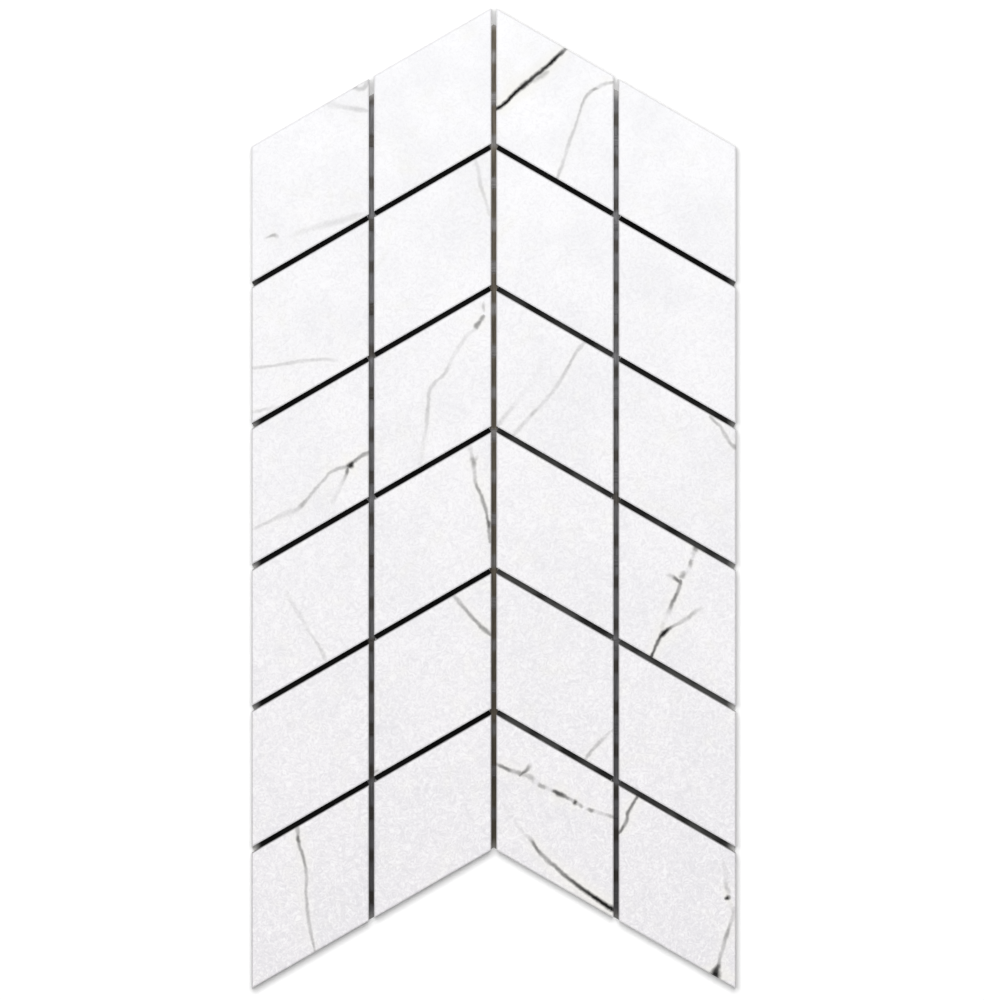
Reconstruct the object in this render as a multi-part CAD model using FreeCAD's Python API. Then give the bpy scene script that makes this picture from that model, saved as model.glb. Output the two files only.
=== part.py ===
import FreeCAD, Part
import math
import os

# A chevron mosaic sheet for a wall: rhombic chips of white marble in slanted rows
# that meet in a peak, bonded face up to an open net of flat glass fibre yarns. Black
# strips lie deep in the slanted joints. The sheet lies on its net, with the polished
# faces up. +Y points to the peak, +X to the right, and the origin is under the middle
# of the sheet's box. Millimetres.

# The chips
chip_width = 36.5           # between a chip's two upright sides
band_width = 36.5           # between its two slanted sides, measured square to them
chip_thickness = 9.5
slant = 30.0                # fall of the rows from the peak, in degrees
arris = 0.4                 # small flat along the edges of the polished face

# The layout
joint = 1.6                 # gap between neighbouring chips, left for grout
columns_per_side = 2        # upright columns on each side of the peak
rows = 6

# The black strips, one in each column's every slanted joint
strip_height = 1.5
strip_clearance = 0.05      # between a strip and the chip above or below it

# The net
net_thickness = 0.5
net_inset = 1.0             # from the sheet's sides and notch to the net's cut edge
net_inset_top = 4.6         # the same at the peak, where the net stops short
cross_yarn_pitch = 13.1     # between the yarns that run across, along X
cross_yarn_width = 3.7
long_yarns_per_column = 3   # yarns that run lengthwise, along Y, for each column
long_yarn_width = 2.6

# Worked out from the sizes above
rise = math.tan(math.radians(slant))
square_to_level = 1 / math.cos(math.radians(slant))
column_pitch = chip_width + joint
row_pitch = (band_width + joint) * square_to_level
chip_side = band_width * square_to_level
half_width = columns_per_side * column_pitch - joint / 2
sheet_height = (rows - 1) * row_pitch + chip_side + (half_width - joint / 2) * rise
# where the top edges of both sides would meet over the middle joint, and the
# bottom edges at the head of the notch
peak_y = sheet_height / 2 + joint / 2 * rise
notch_y = peak_y - (rows - 1) * row_pitch - chip_side
# a strip's ends are cut square, and its corners keep within its column
strip_width = joint - 2 * strip_clearance
strip_length = (chip_width - strip_width * math.sin(math.radians(slant))) * square_to_level


def outline_face(corners, z):
    """Flat face at height z on a closed outline given as (x, y) corners."""
    points = [FreeCAD.Vector(x, y, z) for x, y in corners]
    return Part.Face(Part.makePolygon(points + points[:1]))


def lies_at(edge, z):
    """True for an edge that is level at height z."""
    return all(abs(vertex.Z - z) < 1e-6 for vertex in edge.Vertexes)


def chip(side, column, row):
    """One chip. side is -1 left or 1 right; columns count out from the peak, rows down from it."""
    inner_x = joint / 2 + column * column_pitch
    outer_x = inner_x + chip_width
    inner_top = peak_y - row * row_pitch - inner_x * rise
    outer_top = peak_y - row * row_pitch - outer_x * rise
    corners = [
        (side * inner_x, inner_top),
        (side * outer_x, outer_top),
        (side * outer_x, outer_top - chip_side),
        (side * inner_x, inner_top - chip_side),
    ]
    block = outline_face(corners, net_thickness).extrude(FreeCAD.Vector(0, 0, chip_thickness))
    face_z = net_thickness + chip_thickness
    return block.makeChamfer(arris, [edge for edge in block.Edges if lies_at(edge, face_z)])


def strip(side, column, row):
    """The strip in the slanted joint below the chip of that column and row."""
    middle_x = joint / 2 + column * column_pitch + chip_width / 2
    middle_y = peak_y - (row + 1) * row_pitch + joint / 2 * square_to_level - middle_x * rise
    bar = Part.makeBox(strip_length, strip_width, strip_height)
    bar.translate(FreeCAD.Vector(-strip_length / 2, -strip_width / 2, 0))
    bar.rotate(FreeCAD.Vector(0, 0, 0), FreeCAD.Vector(0, 0, 1), -side * slant)
    bar.translate(FreeCAD.Vector(side * middle_x, middle_y, net_thickness))
    return bar


def net_corners():
    """The sheet's chevron outline, drawn in by the insets all round."""
    side_x = half_width - net_inset
    peak = peak_y - net_inset_top * square_to_level
    notch = notch_y + net_inset * square_to_level
    return [
        (0, peak),
        (side_x, peak - side_x * rise),
        (side_x, notch - side_x * rise),
        (0, notch),
        (-side_x, notch - side_x * rise),
        (-side_x, peak - side_x * rise),
    ]


def yarn(x, y, width, length):
    """The flat face of a yarn, centred on (x, y)."""
    return Part.makePlane(width, length, FreeCAD.Vector(x - width / 2, y - length / 2, 0))


def backing_net():
    """Cross and lengthwise yarns, fused where they cross and cut to the chevron outline."""
    # one lengthwise yarn lies under each upright joint, and the others between them
    long_pitch = column_pitch / long_yarns_per_column
    outer_yarn = columns_per_side * long_yarns_per_column - 1
    yarns = [
        yarn(step * long_pitch, 0, long_yarn_width, sheet_height)
        for step in range(-outer_yarn, outer_yarn + 1)
    ]
    # cross yarns lie evenly above and below the middle, as far as the outer yarn holds them
    held_from = notch_y - outer_yarn * long_pitch * rise
    for step in range(math.ceil(sheet_height / 2 / cross_yarn_pitch)):
        y = (step + 0.5) * cross_yarn_pitch
        yarns.append(yarn(0, y, 2 * half_width, cross_yarn_width))
        if -y > held_from:
            yarns.append(yarn(0, -y, 2 * half_width, cross_yarn_width))
    grid = yarns[0].multiFuse(yarns[1:])
    cut = grid.common(outline_face(net_corners(), 0)).removeSplitter()
    return cut.extrude(FreeCAD.Vector(0, 0, net_thickness))


def main():
    os.makedirs("parts", exist_ok=True)
    net = backing_net()
    net.exportStep("parts/backing_net.step")
    print("backing_net: solids", len(net.Solids), "faces", len(net.Faces), "volume", round(net.Volume, 1))
    for side, side_name in ((-1, "left"), (1, "right")):
        for column in range(columns_per_side):
            for row in range(rows):
                piece = chip(side, column, row)
                piece.exportStep(f"parts/chip_{side_name}_{column + 1}_row_{row + 1}.step")
            for row in range(rows - 1):
                bar = strip(side, column, row)
                bar.exportStep(f"parts/strip_{side_name}_{column + 1}_joint_{row + 1}.step")
    print("last chip: volume", round(piece.Volume, 1), "faces", len(piece.Faces))
    print("strip:", round(strip_length, 2), "by", round(strip_width, 2), "volume", round(bar.Volume, 1))
    print("sheet:", round(2 * half_width, 2), "by", round(sheet_height, 2))


main()
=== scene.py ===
# %% [markdown]
# The object is one sheet of chevron mosaic for a wall: 24 rhombic chips of white veined
# marble, bonded to an open net of glass fibre yarns, with thin black strips lying deep in
# the slanted joints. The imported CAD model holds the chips, strips and net at their real
# size, and this file gives them their looks. All lengths here are metres, as Blender's
# are, and MM turns a size in millimetres into them. Only the veins are written in plain
# millimetres.

# %% Load the frame
import math

import bmesh
import bpy
from mathutils import Matrix, Vector


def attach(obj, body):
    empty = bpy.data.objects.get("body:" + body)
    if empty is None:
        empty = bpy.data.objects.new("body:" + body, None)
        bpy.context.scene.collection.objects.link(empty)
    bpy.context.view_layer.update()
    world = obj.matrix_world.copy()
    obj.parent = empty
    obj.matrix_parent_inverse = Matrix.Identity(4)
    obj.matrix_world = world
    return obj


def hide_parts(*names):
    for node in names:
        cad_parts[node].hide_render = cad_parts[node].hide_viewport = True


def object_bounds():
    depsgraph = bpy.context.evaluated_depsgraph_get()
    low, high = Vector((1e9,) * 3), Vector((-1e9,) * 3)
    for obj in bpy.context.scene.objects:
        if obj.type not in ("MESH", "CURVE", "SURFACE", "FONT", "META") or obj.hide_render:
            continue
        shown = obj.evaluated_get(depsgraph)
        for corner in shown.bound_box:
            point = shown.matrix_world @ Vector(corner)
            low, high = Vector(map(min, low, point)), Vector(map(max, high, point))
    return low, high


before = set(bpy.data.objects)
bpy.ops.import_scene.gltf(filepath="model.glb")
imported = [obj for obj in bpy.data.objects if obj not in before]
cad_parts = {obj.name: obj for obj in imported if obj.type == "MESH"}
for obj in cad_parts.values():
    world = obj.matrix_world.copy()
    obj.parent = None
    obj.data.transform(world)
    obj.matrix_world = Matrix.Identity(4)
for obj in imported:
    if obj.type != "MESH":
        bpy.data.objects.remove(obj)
cad_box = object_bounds()
MM = 0.001
SHEET_TOP = cad_box[1].z
SHEET_EDGE_Y = cad_box[1].y
SHEET_SIDE = cad_box[1].x
print("CAD nodes:", len(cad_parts))
print("CAD box, mm:", [[round(value / MM, 2) for value in corner] for corner in cad_box])

# %% [markdown]
# Colours are written as sRGB hex values, because that is how a colour picker shows them.
# Blender's sockets want linear light, so one function does the change.

# %% Colours
def linear(hex_colour):
    """An sRGB hex colour as linear red, green, blue and alpha."""
    shares = [int(hex_colour[start : start + 2], 16) / 255 for start in (1, 3, 5)]
    lit = [s / 12.92 if s <= 0.04045 else ((s + 0.055) / 1.055) ** 2.4 for s in shares]
    return (*lit, 1.0)


print("mid grey as linear light:", round(linear("#808080")[0], 3))

# %% [markdown]
# Materials are built from nodes. One small function adds a node: named settings are the
# node's own options, and each input is either a value or the output of another node,
# which it then links. Inputs go by name, or by number where two share a name. In a Mix
# node they are 2 and 3 for two numbers, and 6 and 7 for two colours.

# %% Helpers for nodes
def add(tree, kind, inputs=None, **settings):
    """Adds a node, sets its options, and sets or links its inputs."""
    node = tree.nodes.new(kind)
    for name, value in settings.items():
        setattr(node, name, value)
    for socket, value in (inputs or {}).items():
        if isinstance(value, bpy.types.NodeSocket):
            tree.links.new(value, node.inputs[socket])
        else:
            node.inputs[socket].default_value = value
    return node


def new_material(name):
    """An empty material and its node tree."""
    material = bpy.data.materials.new(name)
    material.use_nodes = True
    material.node_tree.nodes.clear()
    return material, material.node_tree


print("a new material has", len(new_material("trial")[1].nodes), "nodes")
bpy.data.materials.remove(bpy.data.materials["trial"])

# %% [markdown]
# The veins are the marble's own drawing. Each is a thin sheet of darker mineral that the
# saw has cut through, so it shows as an uneven line that wanders, thickens and breaks up.
# A noise texture alone gives veins in random places. Here the veined chips have their own
# few veins where the real ones have them. A vein is a row of points, each with its place on
# the sheet (x, y) and its width in millimetres, and how dark it is there, from 0 to 1.
# Most of the widths and darknesses weren't chosen by hand. A separate program worked them
# out, by measuring across each vein in the photograph and in a render, and rounded them.
# That is a fault of this table. The two columns left of the peak come first.

# %% Veins, left of the peak
VEINS = {
    "chip_left_2_row_1": [
        [(-43.8, 127.9, 1.3, 0.25), (-41.2, 127.5, 1.2, 0.3), (-38.8, 129.9, 1.2, 0.25)],
        [(-52.6, 122.8, 1.7, 0.06), (-47.3, 121.9, 1.1, 0.15), (-39.9, 120.7, 1, 0.2)],
        [(-70.5, 81.1, 0.6, 0.25), (-68.7, 81.9, 0.9, 0.45), (-67.5, 81.6, 1.1, 0.25)],
        [(-64.4, 81.3, 1, 0.03), (-57.6, 83.7, 1.5, 0.11), (-46.9, 86.6, 1.6, 0.15),
         (-40.3, 88.8, 0.8, 0.09)],
    ],
    "chip_left_2_row_2": [
        [(-74.8, 40.6, 0.8, 0.2), (-70.8, 41, 0.7, 0.25), (-64.1, 42, 0.9, 0.25), (-59.6, 42.7, 1, 0.2),
         (-55.1, 43.1, 0.8, 0.25), (-51.6, 43.2, 1, 0.2), (-48.9, 42.8, 0.8, 0.09)],
        [(-74.8, 26.9, 0.8, 0.15), (-71.7, 27.6, 0.8, 0.2), (-68.1, 28.5, 0.8, 0.09)],
    ],
    "chip_left_2_row_3": [
        [(-39, 14.1, 1, 0.55), (-41.7, 12.9, 1, 0.6), (-43.6, 11.3, 1, 0.7), (-44.6, 10.2, 1.7, 0.99),
         (-45.8, 9.8, 1.1, 0.55), (-48, 9.3, 1, 0.4), (-50.7, 8.2, 0.9, 0.4), (-52.9, 5.7, 0.7, 0.35),
         (-55.6, 2.8, 0.9, 0.35), (-57.8, 0.1, 0.9, 0.35), (-59.4, -1.7, 1.1, 0.5),
         (-60.9, -3.2, 1.2, 0.25), (-64.1, -4.5, 1.6, 0.2), (-67.2, -5.9, 1.2, 0.2),
         (-70.8, -7.7, 0.8, 0.25), (-74.8, -9.5, 0.7, 0.13)],
        [(-45.5, 9.1, 0.8, 0.75), (-46.2, 6.8, 0.9, 0.4), (-47.8, 3.7, 1, 0.15), (-49.3, 0.6, 1.2, 0.11),
         (-50.2, -1, 1.2, 0.1)],
    ],
    "chip_left_2_row_4": [
        [(-64.4, -29.6, 1, 0.05), (-62.4, -33.5, 1, 0.13), (-60, -37, 1.2, 0.12),
         (-58.3, -40.3, 1, 0.12), (-56.5, -43.1, 0.7, 0.15), (-54.3, -46.4, 0.9, 0.25),
         (-52.6, -49.9, 1, 0.2)],
    ],
    "chip_left_2_row_6": [
        [(-61.2, -102.6, 1, 0.42), (-61, -104.8, 0.9, 0.53), (-61, -106.1, 1.1, 0.8),
         (-60.6, -107.6, 0.9, 0.6), (-60.4, -108.7, 0.9, 0.55), (-59.6, -110.9, 0.9, 0.6),
         (-59, -113.1, 0.9, 0.6), (-58.6, -115.3, 0.8, 0.45), (-58.3, -117.9, 1, 0.35),
         (-58.5, -121.4, 0.8, 0.4), (-58.3, -124.9, 0.8, 0.4), (-58, -128.4, 0.9, 0.4),
         (-57.6, -131.4, 1, 0.35), (-57, -135.4, 0.8, 0.35), (-56.3, -138.4, 0.7, 0.4),
         (-55.8, -140.6, 0.6, 0.35)],
    ],
    "chip_left_1_row_2": [
        [(-5.8, 104.9, 0.9, 0.14), (-5, 102.8, 1, 0.15), (-4.5, 100.1, 1.1, 0.15), (-3.9, 96.6, 1, 0.25),
         (-2.8, 93.6, 0.9, 0.2), (-2.1, 91, 0.8, 0.14), (-1.5, 88.6, 0.8, 0.14)],
    ],
    "chip_left_1_row_3": [
        [(-3.2, 60.5, 0.8, 0.25), (-3.2, 58.7, 0.8, 0.3)],
        [(-3.4, 56.5, 1.1, 0.6), (-4.5, 54.8, 1, 0.65), (-5.4, 53.7, 1.4, 0.65), (-5.8, 52.6, 1.1, 0.25),
         (-7.2, 51.7, 1.2, 0.15), (-8.9, 50, 1, 0.16), (-10.2, 48, 1.1, 0.2), (-11.5, 46.1, 1, 0.13),
         (-13.3, 42.8, 0.9, 0.13), (-15.7, 38.3, 1, 0.3), (-17.6, 36.7, 1, 0.25), (-20.1, 33.3, 1, 0.25),
         (-20.3, 30.4, 0.9, 0.3), (-20.7, 25.6, 1.1, 0.3), (-21.1, 21.7, 0.9, 0.2),
         (-21.8, 18.2, 0.8, 0.09), (-22.2, 15.1, 1.2, 0.07), (-23.1, 10.7, 1.4, 0.06)],
    ],
    "chip_left_1_row_4": [
        [(-7.4, 16, 1.1, 0.15), (-6.9, 13.4, 1.1, 0.25), (-6.3, 11.2, 1.3, 0.6), (-6, 8.6, 1.1, 0.3),
         (-5.8, 5.5, 1, 0.4), (-5.2, 3.3, 0.9, 0.6), (-4.1, 1.2, 1, 0.6), (-3.2, -1.5, 1.1, 0.6),
         (-2.3, -4.5, 0.9, 0.6), (-1.9, -6.7, 0.9, 0.7), (-1.6, -7.6, 1.1, 0.85),
         (-1.5, -10.2, 0.9, 0.55), (-1.2, -13.3, 0.8, 0.5)],
        [(-6.2, 11.3, 0.9, 0.45), (-5.4, 12.7, 1, 0.25)],
    ],
    "chip_left_1_row_5": [
        [(-12.4, -30.5, 0.9, 0.3), (-8.9, -34.6, 1, 0.5), (-5.4, -38.5, 1, 0.6), (-1.5, -42.2, 1, 0.6)],
        [(-37.1, -85.3, 0.8, 0.35), (-36.2, -84.9, 0.8, 0.35)],
    ],
}
print("veined chips on the left:", len(VEINS), "with", sum(map(len, VEINS.values())), "veins")

# %% [markdown]
# The right half has the boldest veins. A dotted one is drawn as one vein whose darkness
# falls to almost nothing between its spots, and the dark wedge at the bottom right corner
# is the end of a vein that widens quickly.

# %% Veins, right of the peak
VEINS |= {
    "chip_right_1_row_1": [
        [(1.1, 121.3, 1, 1), (3.3, 122.9, 1, 1), (6.7, 126.3, 1.1, 1), (9.1, 128.3, 1.5, 0.99),
         (11, 129.9, 1.3, 0.97), (12.8, 131.5, 1.2, 0.95), (16.3, 134.2, 1.1, 0.97),
         (18.5, 136.3, 1.1, 1), (20.5, 138.2, 1, 0.93), (22.4, 139.9, 0.9, 0.6)],
        [(12, 130, 1.2, 0.3), (13.7, 130.9, 1.4, 0.35), (16.7, 132.7, 1, 0.3)],
        [(37.6, 129.7, 0.9, 0.35), (34.6, 129, 1.3, 0.3), (32.6, 128, 1.1, 0.2),
         (31.6, 127.5, 0.9, 0.55), (30.1, 126.6, 0.9, 0.35), (28.8, 125, 0.8, 0.4),
         (27.7, 122.9, 0.8, 0.4), (26.5, 119.3, 0.6, 0.3), (24.9, 114.5, 0.8, 0.3), (23.5, 111, 1, 0.3),
         (22.4, 107.4, 0.9, 0.2), (20.9, 102.8, 0.9, 0.3), (19.8, 99.9, 0.7, 0.35)],
    ],
    "chip_right_1_row_3": [
        [(28, 48.2, 1, 0.2), (25.3, 44.9, 0.8, 0.3), (23.9, 42.3, 0.8, 0.35), (22.4, 39.6, 0.8, 0.3),
         (21, 37.2, 1.1, 0.25), (19.7, 35.1, 1.1, 0.2), (17.9, 32.7, 0.9, 0.2), (15.8, 30.3, 1, 0.15),
         (14, 28.2, 0.9, 0.2), (12.5, 26.8, 1, 0.35), (10.7, 24.7, 1, 0.15), (8.7, 22.6, 1, 0.25),
         (6.6, 20.2, 1.1, 0.2)],
        [(14.6, 41.1, 1.5, 0.04), (13.1, 37.8, 1.5, 0.04), (9.5, 33, 1.4, 0.05), (7.2, 30, 1.3, 0.09),
         (3.7, 25.9, 1.1, 0.2), (1.5, 23, 0.9, 0.2)],
    ],
    "chip_right_1_row_5": [
        [(36.8, -72.4, 0.7, 0.14), (35, -73.9, 0.8, 0.2), (33.1, -75.9, 1, 0.35), (31, -78.1, 0.9, 0.4),
         (28.9, -80.7, 0.9, 0.35)],
    ],
    "chip_right_1_row_6": [
        [(1.3, -82.9, 0.9, 0.5), (4.2, -84.4, 0.9, 0.75), (6.3, -85.1, 1.3, 0.4), (8.3, -85.7, 1.1, 0.6),
         (9.8, -86.2, 1.2, 0.35), (11.9, -87.2, 1.4, 0.4), (13.1, -88.5, 1.6, 0.06),
         (14.3, -89.4, 1.1, 0.5), (15.5, -89.9, 1.1, 0.5), (17, -90.5, 1.1, 0.15),
         (18.6, -91.2, 1.1, 0.76), (20.1, -91.9, 1.4, 0.9), (21.8, -92.7, 1.2, 0.78),
         (23.2, -93.4, 0.9, 0.6), (24.4, -94.1, 0.9, 0.38), (25.3, -94.7, 1.3, 0.9),
         (26.3, -95.2, 0.9, 0.32), (27.2, -95.8, 1, 0.52), (28.3, -96.3, 0.8, 0.06),
         (30.3, -97.2, 1, 0.7), (31.6, -97.6, 0.9, 0.2), (34.6, -98.4, 0.9, 0.25),
         (36.9, -99.2, 0.9, 0.45)],
        [(8.6, -85.9, 0.8, 0.75), (10.2, -84.7, 1, 0.65), (11.2, -83.3, 1.1, 0.3)],
        [(3, -95.4, 0.7, 0.09), (4.8, -97.8, 1.3, 0.08), (6.3, -100.1, 1.1, 0.06),
         (7.8, -102.2, 1.1, 0.11), (9.9, -104.8, 1, 0.15), (11.7, -106.4, 1.1, 0.45),
         (12.9, -108.5, 0.9, 0.75), (14, -110, 1, 0.7), (15.6, -111.6, 1.2, 0.55),
         (17.4, -113.4, 1.2, 0.6), (19.2, -114.7, 1, 0.7), (21.8, -117.2, 1.1, 0.75),
         (24.6, -119.3, 1.2, 0.87), (27.2, -121.4, 1.1, 0.92), (29.8, -123.2, 1.2, 0.97),
         (31.9, -124.6, 1.2, 1), (34.4, -126.4, 1.3, 1), (37.2, -128.2, 1.3, 1)],
    ],
    "chip_right_2_row_3": [
        [(67.6, 25.2, 0.8, 0.4), (69.1, 23.6, 0.8, 0.45), (70.5, 22.5, 0.8, 0.35),
         (71.5, 20.8, 0.9, 0.35), (73, 18.1, 1, 0.35), (74, 16.9, 0.9, 0.45), (75.2, 15.7, 1.1, 0.45)],
    ],
    "chip_right_2_row_4": [
        [(63, -15.2, 1.3, 0.7), (62.4, -16.9, 1.3, 0.3), (61.9, -18.6, 1.1, 0.15),
         (61.4, -19.9, 1.2, 0.55), (61.1, -21.1, 1, 0.4), (60.3, -22.3, 1.2, 0.09),
         (59.3, -23.2, 1.4, 0.4), (58.8, -24.1, 1.5, 0.55), (58, -25.2, 1.1, 0.2)],
        [(54.2, -23.9, 1, 0.2), (55.6, -24.3, 1.1, 0.35), (56.6, -25.1, 1, 0.8), (57.7, -26, 0.9, 0.75),
         (58.1, -26.4, 1.1, 0.6)],
        [(58.1, -26.2, 1.1, 0.75), (57.95, -27.2, 1, 0.55), (57.5, -28.5, 0.8, 0.55),
         (56.6, -30.6, 1, 0.75), (55.7, -32.4, 1.1, 0.7), (55, -34.2, 1.1, 0.5),
         (54.5, -35.3, 1.5, 0.25), (53.2, -37.7, 1.2, 0.08), (52.6, -39.5, 0.9, 0.18),
         (52.4, -40.9, 1, 0.1)],
        [(64.8, -34.2, 0.9, 0.15), (63, -35.2, 1.1, 0.25), (61.25, -36.6, 1.1, 0.4),
         (59.4, -37.9, 1.2, 0.3), (57.7, -38.9, 1, 0.35), (56.2, -39.7, 0.9, 0.45),
         (55, -40.3, 0.9, 0.75), (53.8, -41.2, 1.2, 0.98), (52.6, -42.2, 1.4, 1), (51.6, -43.7, 1, 0.88),
         (50.8, -45.2, 1.1, 0.8), (50.3, -46.4, 1, 0.8), (49.6, -48, 0.9, 0.88), (49, -49.6, 0.9, 0.93)],
    ],
    "chip_right_2_row_6": [
        [(44.8, -92.6, 0.8, 0.75), (43.8, -94.3, 0.8, 0.75), (42.5, -96.7, 1, 0.75),
         (41.7, -98, 1, 0.75), (41.4, -100.3, 1, 0.65), (41, -101.4, 1, 0.6), (40.1, -102.8, 0.8, 0.8),
         (39.1, -104.2, 0.7, 0.75)],
        [(71.5, -113.4, 0.7, 0.11), (72.6, -118.5, 1.4, 0.11), (72.4, -120.7, 1.1, 0.3),
         (72.9, -122.3, 1.2, 0.3)],
        [(72.6, -124.5, 1.3, 0.98), (73.1, -124.3, 1.4, 0.88)],
        [(73.5, -125.6, 1.2, 0.09), (74.2, -127.2, 1.2, 0.15), (74.5, -129, 0.9, 0.3),
         (74.2, -131.3, 1.1, 0.25), (73.5, -133, 1, 0.35), (72.8, -135.3, 1, 0.55),
         (71.9, -137.9, 1, 0.45), (71.3, -140.5, 1, 0.3), (70.6, -142.2, 1, 0.35),
         (70.2, -144.5, 1, 0.5), (69.9, -145.6, 1.2, 0.8), (69.3, -146.9, 1.9, 0.95),
         (68.8, -148.9, 2.7, 1)],
    ],
}
print("veined chips in all:", len(VEINS), "with", sum(map(len, VEINS.values())), "veins")

# %% [markdown]
# A vein could be a painted image, or a thin mesh laid on the stone. Nodes keep it inside
# the stone, so it also runs on down the sawn sides. A Mapping node turns the place on the
# sheet into a share of the way along the vein's chord (X) and a distance from it (Y). One
# Float Curve then says how far aside the vein is there, one how wide and one how dark. A
# curve only holds values from 0 to 1, so the chord itself is drawn at a half. The ends
# taper to less than half the width, and fade out over a millimetre.

# %% One vein
FADE = 1.0
TAPER = 0.4
CHORD = 0.5


def add_vein(tree, place, points):
    """How dark one vein is at a place, and how near it is, counted in its own half widths."""
    spots = [Vector(point[:2]) for point in points]
    first = spots[0] + (spots[0] - spots[1]).normalized() * FADE
    last = spots[-1] + (spots[-1] - spots[-2]).normalized() * FADE
    spots = [first, *spots, last]
    widths = [points[0][2] * TAPER, *(point[2] for point in points), points[-1][2] * TAPER]
    darkness = [0, *(point[3] for point in points), 0]
    run = last - first
    along = [(spot - first).dot(run) / run.length_squared for spot in spots]
    aside = [CHORD + run.cross(spot - first) / run.length_squared for spot in spots]
    half = [width / 2 / run.length for width in widths]
    in_line = add(tree, "ShaderNodeMapping", {
        "Vector": place, "Location": (*(first * MM), 0),
        "Rotation": (0, 0, math.atan2(run.y, run.x)), "Scale": (run.length * MM,) * 3,
    }, vector_type="TEXTURE")
    parts = add(tree, "ShaderNodeSeparateXYZ", {0: in_line.outputs[0]})
    curves = []
    for heights in (aside, half, darkness):
        curve = add(tree, "ShaderNodeFloatCurve", {"Value": parts.outputs["X"]})
        curve.mapping.extend = "HORIZONTAL"
        line = curve.mapping.curves[0].points
        line[0].location = along[0], heights[0]
        line[1].location = along[-1], heights[-1]
        for stop in zip(along[1:-1], heights[1:-1]):
            line.new(*stop)
        curve.mapping.update()
        curves.append(curve.outputs[0])
    middle, half_width, strength = curves
    off = add(tree, "ShaderNodeMath", {0: parts.outputs["Y"], 1: middle}, operation="SUBTRACT")
    off = add(tree, "ShaderNodeMath", {0: off.outputs[0], 1: CHORD}, operation="ADD")
    off = add(tree, "ShaderNodeMath", {0: off.outputs[0]}, operation="ABSOLUTE")
    away = add(tree, "ShaderNodeMath", {0: off.outputs[0], 1: half_width}, operation="DIVIDE")
    return strength, away.outputs[0]


print("points along the longest vein:", max(len(v) for veins in VEINS.values() for v in veins))

# %% [markdown]
# All the veins of a chip are then put together. The edge of a vein is soft, and the stone
# beside it is often stained a warm cream, so each vein gives a dark core and a wide pale
# halo. The two edges are counted in half widths of the vein, from where the colour is full
# to where it is gone. The place is first shaken a little by fine noise, because a real
# vein's edge is ragged at the size of the crystals. Another noise breaks up the faint
# veins, and leaves the dark ones solid.

# %% The veins of a chip
RAGGED_SIZE, RAGGED_DEPTH = 1.6 * MM, 0.7 * MM
BREAK_SIZE = 1.1 * MM
LEFT_IN_BREAKS = 0.7
CORE_EDGE = (0.3, 2.0)
HALO_EDGE = (1, 9)


def add_veins(tree, place, veins):
    """The darkness and the cream stain, 0 to 1, of all the veins of one chip."""
    shake = add(tree, "ShaderNodeTexNoise", {"Vector": place, "Scale": 1 / RAGGED_SIZE, "Detail": 2})
    shift = add(tree, "ShaderNodeVectorMath", {
        0: shake.outputs["Color"], 1: (0.5, 0.5, 0.5),
    }, operation="SUBTRACT")
    shift = add(tree, "ShaderNodeVectorMath", {
        0: shift.outputs[0], "Scale": RAGGED_DEPTH,
    }, operation="SCALE")
    shaken = add(tree, "ShaderNodeVectorMath", {0: place, 1: shift.outputs[0]}, operation="ADD")
    breaks = add(tree, "ShaderNodeTexNoise", {"Vector": place, "Scale": 1 / BREAK_SIZE, "Detail": 1})
    breaks = add(tree, "ShaderNodeMapRange", {
        "Value": breaks.outputs["Fac"], "From Min": 0.3, "From Max": 0.55, "To Min": LEFT_IN_BREAKS,
    })
    amounts = [0, 0]
    for points in veins:
        strength, away = add_vein(tree, shaken.outputs[0], points)
        for layer, (inside, outside) in enumerate((CORE_EDGE, HALO_EDGE)):
            amount = add(tree, "ShaderNodeMapRange", {
                "Value": away, "From Min": inside, "From Max": outside, "To Min": 1, "To Max": 0,
            }, interpolation_type="SMOOTHSTEP")
            amount = add(tree, "ShaderNodeMath", {
                0: amount.outputs[0], 1: strength,
            }, operation="MULTIPLY")
            amounts[layer] = add(tree, "ShaderNodeMath", {
                0: amounts[layer], 1: amount.outputs[0],
            }, operation="MAXIMUM").outputs[0]
    dark, halo = amounts
    broken = add(tree, "ShaderNodeMath", {0: dark, 1: breaks.outputs[0]}, operation="MULTIPLY")
    dark = add(tree, "ShaderNodeMix", {
        "Factor": dark, 2: broken.outputs[0], 3: dark,
    }, data_type="FLOAT")
    return dark.outputs[0], halo


print("most veins in one chip:", max(map(len, VEINS.values())))

# %% [markdown]
# Polished white marble is nearly even: a cool white with soft clouds, faint cream patches
# and the fine squiggly speckle of its calcite crystals, which shows more on the lower rows.
# The white is also painted greyer towards the lower rows and lighter towards the peak:
# painted shade of the light falling off from the peak's side. Real crystals are a few
# tenths of a millimetre, and the speckle is drawn several times as coarse so that it shows.
# Each chip comes from another part of the block, so the noise is four-dimensional and every
# chip reads it at a W of its own.

# %% Stone colour
CLOUD_SIZE = 17 * MM
PATCH_SIZE = 11 * MM
SPECKLE_SIZE = 2.0 * MM
SPECKLE_AT_BOTTOM, SPECKLE_AT_TOP = 0.66, 0.18
NEXT_CHIP = 3.7


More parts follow.
